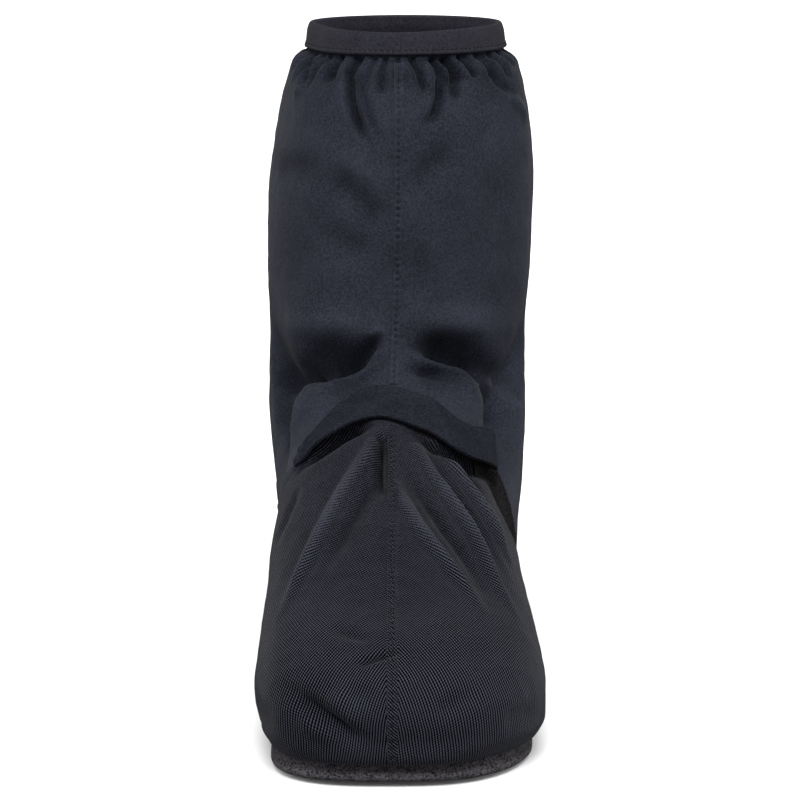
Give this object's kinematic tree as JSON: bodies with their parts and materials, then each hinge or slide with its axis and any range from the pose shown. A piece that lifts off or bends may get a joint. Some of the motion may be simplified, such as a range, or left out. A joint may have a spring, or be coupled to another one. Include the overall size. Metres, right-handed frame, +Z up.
{
  "type": "cycling overshoe",
  "caption": "Pull-on fabric overshoe for a cycling shoe, with a tall gathered shaft, a woven toe panel, an instep strap and a flat sole.",
  "frame": {"origin": "on the floor, at the middle of the footprint", "axes": "+Z up; the toe points along -Y and the heel along +Y; +X is the outer side of the left foot"},
  "size_m": [0.1186, 0.3023, 0.2792],
  "materials": {
    "sole_rubber": "matte, mottled and slightly fuzzy at the edge",
    "shaft_fabric": "dark navy-black stretch fabric with a fine matte face",
    "toe_fabric": "coarse plain weave with a dull coated sheen",
    "strap_fabric": "matte woven tape",
    "loop_pile": "black looped pile",
    "collar_elastic": "matte ribbed elastic tape"
  },
  "bodies": {
    "root": {"sole": "sole_rubber", "upper": "shaft_fabric", "toe_panel": "toe_fabric", "strap_loop_pad": "loop_pile", "instep_strap": "strap_fabric", "toe_seam": "toe_fabric", "shaft_front_seam": "shaft_fabric", "shaft_back_seam": "shaft_fabric", "collar_band": "collar_elastic"}
  },
  "joints": []
}
